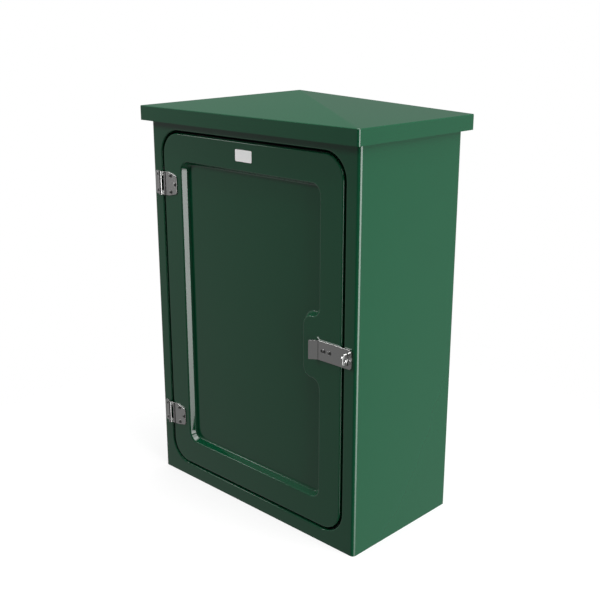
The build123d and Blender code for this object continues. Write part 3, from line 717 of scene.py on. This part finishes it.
# Door panel
# The third green moulding: a tray with returned edges, sunk in the middle except for a lobe that
# carries the hasp. Gelcoat on its front and edges, flowcoat on its back.
DOOR_SKIN = 0.004
DOOR_CORNER_RADIUS = 0.048
RECESS_BORDER = 0.058
RECESS_DEPTH = 0.015
RECESS_RUN = 0.006
RECESS_CORNER_RADIUS = 0.023
LOBE_REACH = 0.0435
LOBE_HEIGHT = 0.128
LOBE_RADIUS = 0.021


def find_door_inside(tree, place):
    """1 on the faces behind the front skin of the door and within its returned edges, else 0."""
    border = Vector((RECESS_BORDER, 0.0, RECESS_BORDER))
    recess = outline_distance(tree, place, door_low + border, door_high - border, RECESS_CORNER_RADIUS)
    door_middle = (door_low.z + door_high.z) / 2
    lobe_low = Vector((door_high.x - RECESS_BORDER - LOBE_REACH, door_low.y, door_middle - LOBE_HEIGHT / 2))
    lobe_high = Vector((door_high.x, door_high.y, door_middle + LOBE_HEIGHT / 2))
    lobe = outline_distance(tree, place, lobe_low, lobe_high, LOBE_RADIUS)
    past_recess = maths(tree, "ADD", recess, LOBE_RADIUS)
    past_lobe = maths(tree, "SUBTRACT", LOBE_RADIUS, lobe)
    past = add_node(tree, "ShaderNodeCombineXYZ", {"X": past_recess, "Y": past_lobe}).outputs["Vector"]
    corner = vector_maths(tree, "LENGTH", vector_maths(tree, "MAXIMUM", past, (0.0, 0.0, 0.0)))
    side = maths(tree, "MINIMUM", maths(tree, "MAXIMUM", past_recess, past_lobe), 0.0)
    outside_recess = maths(tree, "SUBTRACT", maths(tree, "ADD", corner, side), LOBE_RADIUS)
    depth = maths(tree, "SUBTRACT", split(tree, place)["Y"], door_low.y)
    drift = maths(tree, "ADD", outside_recess, maths(tree, "MULTIPLY", depth, RECESS_RUN / RECESS_DEPTH))
    behind_wall = maths(tree, "GREATER_THAN", drift, DOOR_SKIN / 2)
    behind_face = maths(tree, "GREATER_THAN", depth, DOOR_SKIN / 2)
    behind_floor = maths(tree, "GREATER_THAN", depth, RECESS_DEPTH + DOOR_SKIN / 2)
    behind = maths(tree, "MAXIMUM", maths(tree, "MULTIPLY", behind_wall, behind_face), behind_floor)
    edge = outline_distance(tree, place, door_low, door_high, DOOR_CORNER_RADIUS)
    return maths(tree, "MULTIPLY", behind, maths(tree, "LESS_THAN", edge, -DOOR_SKIN / 2))


dress(gelcoat("door_gelcoat", find_door_inside), "door_panel")


# Label plate
# A small blank plate of white satin plastic, cut from sheet with rounded corners and stuck to the top
# border of the door.
PLATE_WHITE = (0.77, 0.77, 0.765, 1.0)
PLATE_AGED = (0.72, 0.72, 0.71, 1.0)
PLATE_AGEING_SCALE = 90.0
PLATE_MIDDLE_SHARE = 0.5
PLATE_ROUGHNESS = (0.25, 0.4)
PLATE_TEXTURE_SCALE = 700.0
PLATE_TEXTURE_HEIGHT = 0.00001
LABEL_CORNER_RADIUS = 0.0025
LABEL_EDGE = 0.0012


def label_plastic(name, low, high):
    """White satin plastic that is a little yellowed towards its edges."""
    material, tree, shader, place = start_material(name)
    edge = outline_distance(tree, place, low, high, LABEL_CORNER_RADIUS)
    near_edge = maths(tree, "GREATER_THAN", edge, -LABEL_EDGE)
    clouds = noise(tree, place, PLATE_AGEING_SCALE, detail=3.0)
    ageing = maths(tree, "MULTIPLY", clouds, between(tree, near_edge, PLATE_MIDDLE_SHARE, 1.0))
    texture = noise(tree, place, PLATE_TEXTURE_SCALE)
    give(tree, shader.inputs["Base Color"], blend_colours(tree, ageing, PLATE_WHITE, PLATE_AGED))
    give(tree, shader.inputs["Roughness"], between(tree, ageing, *PLATE_ROUGHNESS))
    give(tree, shader.inputs["Normal"], bump(tree, texture, PLATE_TEXTURE_HEIGHT))
    return material


dress(label_plastic("label_plastic", *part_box("label_plate")), "label_plate")


# Hasp strap
# A stainless strap screwed to the lobe of the door. Its end reaches over the frame with a slot for the
# padlock eye, and the other end is bent out as a tab to pull the door open with.
dress(polished_steel, "hasp_strap")


# Padlock eye
# A stainless eye on a neck that turns in a black nylon bush in the frame. It goes through the slot of
# the strap, is given a quarter turn, and takes the padlock. A washer and a nut hold it from behind.
NYLON_BLACK = (0.030, 0.030, 0.032, 1.0)
NYLON_GREY = (0.050, 0.050, 0.052, 1.0)
NYLON_FLOW_SCALE = 250.0
NYLON_FLOW_HEIGHT = 0.00002
NYLON_ROUGHNESS = (0.35, 0.5)
STAPLE_NUT_FLATS = 0.008
STAPLE_NECK_DIAMETER = 0.0056


def nylon(name):
    """Black moulded nylon, slightly waxy."""
    material, tree, shader, place = start_material(name)
    flow = noise(tree, place, NYLON_FLOW_SCALE, detail=3.0)
    give(tree, shader.inputs["Base Color"], blend_colours(tree, flow, NYLON_BLACK, NYLON_GREY))
    give(tree, shader.inputs["Roughness"], between(tree, flow, *NYLON_ROUGHNESS))
    give(tree, shader.inputs["Normal"], bump(tree, flow, NYLON_FLOW_HEIGHT))
    return material


dress(polished_steel, "staple_eye")
dress(nylon("black_nylon"), "staple_bush")
dress(bright_zinc, "staple_washer")
nut_low, nut_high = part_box("staple_nut")
places = fastener_places("staple_nut", DEPTH_AXIS, nut_low.y, NEAR_SHARE * STAPLE_NUT_FLATS)
sizes = {"Flats": STAPLE_NUT_FLATS, "Height": nut_high.y - nut_low.y, "Bore": STAPLE_NECK_DIAMETER}
eye_nut = grow("eye_back_nut", hexagon_nut, places, OUT_OF_FRONT, bright_zinc, sizes)
stand_for(eye_nut, "staple", "staple_nut")


# Screws and nuts of the hinges and the hasp
# Domed stainless machine screws with a hexagon socket, and zinc-plated hexagon nuts behind the frame
# and behind the door skin.
SCREW_DIAMETER = 0.005
SCREW_PITCH = 0.0008
SCREW_HEAD_DIAMETER = 0.0095
SCREW_HEAD_HEIGHT = 0.0028
SCREW_HEAD_RIM = 0.0006
SOCKET_FLATS = 0.003
SOCKET_DEPTH = 0.0016
SCREW_NEAR_SHARE = 1.15
DOME_POWER = 2.2
HEAD_SEGMENTS = 32
NUT_FLATS = 0.008
NUT_NEAR_SHARE = 1.3


def domed_screw_tree():
    """Machine screws with the seat of their head at the origin and their shank down -Z."""
    head_sizes = ("Head Diameter", "Head Height", "Head Rim", "Socket Flats", "Socket Depth")
    tree, given = start_tree("domed_screw", *head_sizes, "Diameter", "Length", "Pitch")
    radius = maths(tree, "MULTIPLY", given["Head Diameter"], 0.5)
    rise = maths(tree, "SUBTRACT", given["Head Height"], given["Head Rim"])
    inputs = {
        "Vertices": HEAD_SEGMENTS,
        "Side Segments": 8,
        "Radius Top": 0.0,
        "Radius Bottom": radius,
        "Depth": rise,
    }
    cone = add_node(tree, "GeometryNodeMeshCone", inputs, fill_type="NONE").outputs["Mesh"]
    across, deep, _ = split(tree, add_node(tree, "GeometryNodeInputPosition").outputs["Position"])
    flat = add_node(tree, "ShaderNodeCombineXYZ", {"X": across, "Y": deep}).outputs["Vector"]
    share = maths(tree, "DIVIDE", vector_maths(tree, "LENGTH", flat), radius)
    fall = maths(tree, "MULTIPLY", maths(tree, "POWER", share, DOME_POWER), rise)
    height = maths(tree, "SUBTRACT", given["Head Height"], fall)
    domed = add_node(tree, "ShaderNodeCombineXYZ", {"X": across, "Y": deep, "Z": height}).outputs["Vector"]
    inputs = {"Geometry": cone, "Position": domed}
    dome = add_node(tree, "GeometryNodeSetPosition", inputs).outputs["Geometry"]
    inputs = {"Vertices": HEAD_SEGMENTS, "Radius": radius, "Depth": given["Head Rim"]}
    rim = add_node(tree, "GeometryNodeMeshCylinder", inputs, fill_type="NONE").outputs["Mesh"]
    rim = shift_up(tree, rim, maths(tree, "MULTIPLY", given["Head Rim"], 0.5))
    inputs = {"Vertices": HEAD_SEGMENTS, "Radius": radius}
    seat = add_node(tree, "GeometryNodeMeshCircle", inputs, fill_type="NGON").outputs["Mesh"]
    seat = add_node(tree, "GeometryNodeFlipFaces", {"Mesh": seat}).outputs["Mesh"]
    inputs = {"Geometry": join(tree, dome, rim, seat), "Distance": MERGE_DISTANCE}
    head = add_node(tree, "GeometryNodeMergeByDistance", inputs).outputs["Geometry"]
    corner = maths(tree, "DIVIDE", given["Socket Flats"], math.sqrt(3))
    socket_length = maths(tree, "MULTIPLY", given["Socket Depth"], 2.0)
    inputs = {"Vertices": 6, "Radius": corner, "Depth": socket_length}
    socket = add_node(tree, "GeometryNodeMeshCylinder", inputs).outputs["Mesh"]
    head = cut(tree, head, shift_up(tree, socket, given["Head Height"]))
    rod = threaded_rod(tree, given["Diameter"], given["Length"], given["Pitch"])
    return end_tree(tree, given, join(tree, head, rod))


domed_screw = domed_screw_tree()
for holder, body, node in (
    ("frame_hinge", "cabinet", "frame_leaf"),
    ("door_hinge", "door", "door_leaf"),
    ("strap", "door", "hasp"),
):
    screw_low, screw_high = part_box(node + "_screws")
    seat = screw_low.y + SCREW_HEAD_HEIGHT
    places = fastener_places(node + "_screws", DEPTH_AXIS, seat, SCREW_NEAR_SHARE * SCREW_HEAD_DIAMETER)
    sizes = {
        "Head Diameter": SCREW_HEAD_DIAMETER,
        "Head Height": SCREW_HEAD_HEIGHT,
        "Head Rim": SCREW_HEAD_RIM,
        "Socket Flats": SOCKET_FLATS,
        "Socket Depth": SOCKET_DEPTH,
        "Diameter": SCREW_DIAMETER,
        "Length": screw_high.y - seat,
        "Pitch": SCREW_PITCH,
    }
    screws = grow(holder + "_socket_screws", domed_screw, places, OUT_OF_FRONT, polished_steel, sizes)
    stand_for(screws, body, node + "_screws")
    nut_low, nut_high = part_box(node + "_nuts")
    places = fastener_places(node + "_nuts", DEPTH_AXIS, nut_low.y, NUT_NEAR_SHARE * NUT_FLATS)
    sizes = {"Flats": NUT_FLATS, "Height": nut_high.y - nut_low.y, "Bore": SCREW_DIAMETER}
    nuts = grow(holder + "_back_nuts", hexagon_nut, places, OUT_OF_FRONT, bright_zinc, sizes)
    stand_for(nuts, body, node + "_nuts")


# Floor
# A round patch of white studio floor that fades into the white background. It is lit up to white,
# so that only the shadow at the foot of the cabinet shows on it.
FLOOR_RADIUS = 0.95
FLOOR_FADE_SHARE = 0.6
FLOOR_GLOW = 0.72
FLOOR_SHADE_SCALE = 3.0
FLOOR_ROUGHNESS = 0.8
FLOOR_WHITE = (0.32, 0.32, 0.32, 1.0)
FLOOR_PALE = (0.30, 0.30, 0.30, 1.0)
bpy.ops.mesh.primitive_plane_add(size=2 * FLOOR_RADIUS)
floor = bpy.context.object
floor.name = "floor"
floor.visible_glossy = False
floor.visible_diffuse = False
floor.visible_transmission = False
floor.visible_shadow = False
floor_paint, tree, shader, place = start_material("floor_white")
share = maths(tree, "DIVIDE", vector_maths(tree, "LENGTH", place), FLOOR_RADIUS)
inputs = {"Value": share, "From Min": FLOOR_FADE_SHARE, "To Min": 1.0, "To Max": 0.0}
fade = add_node(tree, "ShaderNodeMapRange", inputs).outputs["Result"]
shade = noise(tree, place, FLOOR_SHADE_SCALE)
give(tree, shader.inputs["Base Color"], blend_colours(tree, shade, FLOOR_WHITE, FLOOR_PALE))
give(tree, shader.inputs["Alpha"], fade)
shader.inputs["Roughness"].default_value = FLOOR_ROUGHNESS
shader.inputs["Specular IOR Level"].default_value = 0.0
shader.inputs["Emission Color"].default_value = (1.0, 1.0, 1.0, 1.0)
shader.inputs["Emission Strength"].default_value = FLOOR_GLOW
floor.data.materials.append(floor_paint)


# Lights
# A lit screen on the right that is dimmer towards its foot, a bank over it, a softbox overhead and a
# small lamp high on the left. Two more lamps fall only on the label and on the steel other than its
# screws, and one that shows only as a reflection falls on the door and the body.
SCREEN_PLACE = 2.0
SCREEN_WIDTH = 1.6
SCREEN_TOP = 0.75
SCREEN_FOOT = -1.35
SCREEN_STEPS = ((0.0, 1.2), (0.224, 2.7), (0.52, 4.4), (0.833, 5.15), (1.0, 5.2))


def level_ramp(tree, share, steps):
    """A grey level that goes from step to step, each a share and a level up to 1."""
    ramp = add_node(tree, "ShaderNodeValToRGB", {"Fac": share})
    while len(ramp.color_ramp.elements) < len(steps):
        ramp.color_ramp.elements.new(0.5)
    for element, (position, level) in zip(ramp.color_ramp.elements, steps):
        element.position = position
        element.color = (level, level, level, 1.0)
    return ramp.outputs["Color"]


def softbox(name, place, target, width, height, radiance, lights_matt=True, lights_gloss=True):
    """An area lamp of an even radiance, turned to face a point."""
    lamp = bpy.data.lights.new(name, "AREA")
    lamp.shape = "RECTANGLE"
    lamp.size = width
    lamp.size_y = height
    lamp.energy = radiance * math.pi * width * height
    holder = bpy.data.objects.new(name, lamp)
    bpy.context.scene.collection.objects.link(holder)
    holder.location = place
    holder.rotation_euler = (Vector(target) - Vector(place)).to_track_quat("-Z", "Y").to_euler()
    holder.visible_camera = False
    holder.visible_diffuse = lights_matt
    holder.visible_glossy = lights_gloss
    return holder


corners = []
for depth, height in ((-1, SCREEN_FOOT), (-1, SCREEN_TOP), (1, SCREEN_TOP), (1, SCREEN_FOOT)):
    corners.append((SCREEN_PLACE, depth * SCREEN_WIDTH / 2, height))
screen_mesh = bpy.data.meshes.new("right_screen")
screen_mesh.from_pydata(corners, [], [(0, 1, 2, 3)])
screen = bpy.data.objects.new("right_screen", screen_mesh)
bpy.context.scene.collection.objects.link(screen)
screen.visible_camera = False
screen_cloth, tree, shader, place = start_material("lit_cloth")
inputs = {"Value": split(tree, place)["Z"], "From Min": SCREEN_FOOT, "From Max": SCREEN_TOP}
share = add_node(tree, "ShaderNodeMapRange", inputs).outputs["Result"]
brightest = max(level for _, level in SCREEN_STEPS)
steps = [(position, level / brightest) for position, level in SCREEN_STEPS]
give(tree, shader.inputs["Emission Color"], level_ramp(tree, share, steps))
shader.inputs["Emission Strength"].default_value = brightest
shader.inputs["Base Color"].default_value = (0.0, 0.0, 0.0, 1.0)
shader.inputs["Specular IOR Level"].default_value = 0.0
screen_mesh.materials.append(screen_cloth)

softbox("right_bank", place=(1.7, 0.0, 2.3), target=(0.0, 0.0, 0.6), width=1.6, height=2.2, radiance=3.6)
softbox(
    "overhead_softbox", place=(0.0, 0.1, 2.8), target=(0.0, 0.1, 0.0), width=1.8, height=1.8, radiance=5.2
)
softbox(
    "left_lamp",
    place=(-1.5, -1.65, 1.95),
    target=(0.0, -0.15, 0.5),
    width=0.65,
    height=0.65,
    radiance=17.0,
    lights_gloss=False,
)

fittings = bpy.data.collections.new("fittings")
fittings.objects.link(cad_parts["label_plate"])
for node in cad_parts.values():
    if node.material_slots and node.material_slots[0].material == polished_steel:
        fittings.objects.link(node)
steel_lamp = softbox(
    "steel_lamp", place=(-1.3, -1.6, 1.25), target=(0.0, -0.16, 0.5), width=0.7, height=1.1, radiance=8.8
)
steel_fill = softbox(
    "steel_fill", place=(1.35, -1.95, -0.25), target=(0.0, -0.16, 0.45), width=1.6, height=1.2, radiance=0.19
)
for lamp in (steel_lamp, steel_fill):
    lamp.light_linking.receiver_collection = fittings

mouldings = bpy.data.collections.new("mouldings")
mouldings.objects.link(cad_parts["door_panel"])
mouldings.objects.link(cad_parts["body_shell"])
edge_lamp = softbox(
    "edge_lamp",
    place=(-2.0, -1.6, 1.75),
    target=(0.0, -0.16, 0.1),
    width=0.45,
    height=0.45,
    radiance=5.0,
    lights_matt=False,
)
edge_lamp.light_linking.receiver_collection = mouldings


# Room
# The camera sees a white background. The cabinet is lit by a dim room and mirrors it, darkest in front
# on the right. Of the white background it mirrors only a band near the horizon, behind it on the left.
PALE_SIDE = (-0.55, 0.83, 0.0)
ROOM_STEPS = ((0.15, 0.05), (0.38, 0.225), (0.5, 0.32), (0.655, 0.38), (0.94, 0.25), (1.0, 0.20))
BACKDROP_WHITE = (1.0, 1.0, 1.0, 1.0)
BACKDROP_EDGE = 0.6
BACKDROP_MIDDLE = -0.07
BACKDROP_HALF = 0.07
BACKDROP_FADE = 0.06
world = bpy.data.worlds.new("studio")
bpy.context.scene.world = world
world.use_nodes = True
room = world.node_tree
direction = add_node(room, "ShaderNodeTexCoord").outputs["Generated"]
towards = vector_maths(room, "DOT_PRODUCT", direction, PALE_SIDE)
share = add_node(room, "ShaderNodeMapRange", {"Value": towards, "From Min": -1.0}).outputs["Result"]
inputs = {"Value": towards, "From Min": BACKDROP_EDGE, "From Max": BACKDROP_EDGE + BACKDROP_FADE}
across_band = add_node(room, "ShaderNodeMapRange", inputs).outputs["Result"]
above_middle = maths(room, "SUBTRACT", split(room, direction)["Z"], BACKDROP_MIDDLE)
off_middle = maths(room, "ABSOLUTE", above_middle)
inputs = {"Value": off_middle, "From Min": BACKDROP_HALF + BACKDROP_FADE, "From Max": BACKDROP_HALF}
up_band = add_node(room, "ShaderNodeMapRange", inputs).outputs["Result"]
rays = add_node(room, "ShaderNodeLightPath").outputs
mirrored = maths(room, "MAXIMUM", rays["Is Glossy Ray"], rays["Is Transmission Ray"])
in_backdrop = maths(room, "MULTIPLY", mirrored, maths(room, "MULTIPLY", across_band, up_band))
seen = maths(room, "MAXIMUM", rays["Is Camera Ray"], in_backdrop)
colour = blend_colours(room, seen, level_ramp(room, share, ROOM_STEPS), BACKDROP_WHITE)
give(room, room.nodes["Background"].inputs["Color"], colour)


# Camera
# It stands in front of the cabinet to its right, a little above the roof, as the camera of the photo
# did. All of the cabinet is sharp.
CAMERA_PLACE = (1.3993, -1.4426, 1.05585)
CAMERA_AZIMUTH = 44.11
CAMERA_ELEVATION = 16.87
CAMERA_LENS = 57.07
CAMERA_SENSOR = 36.0
camera = bpy.data.objects.new("camera", bpy.data.cameras.new("camera"))
bpy.context.scene.collection.objects.link(camera)
camera.location = CAMERA_PLACE
camera.rotation_euler = (math.radians(90 - CAMERA_ELEVATION), 0.0, math.radians(CAMERA_AZIMUTH))
camera.data.lens = CAMERA_LENS
camera.data.sensor_width = CAMERA_SENSOR
bpy.context.scene.camera = camera
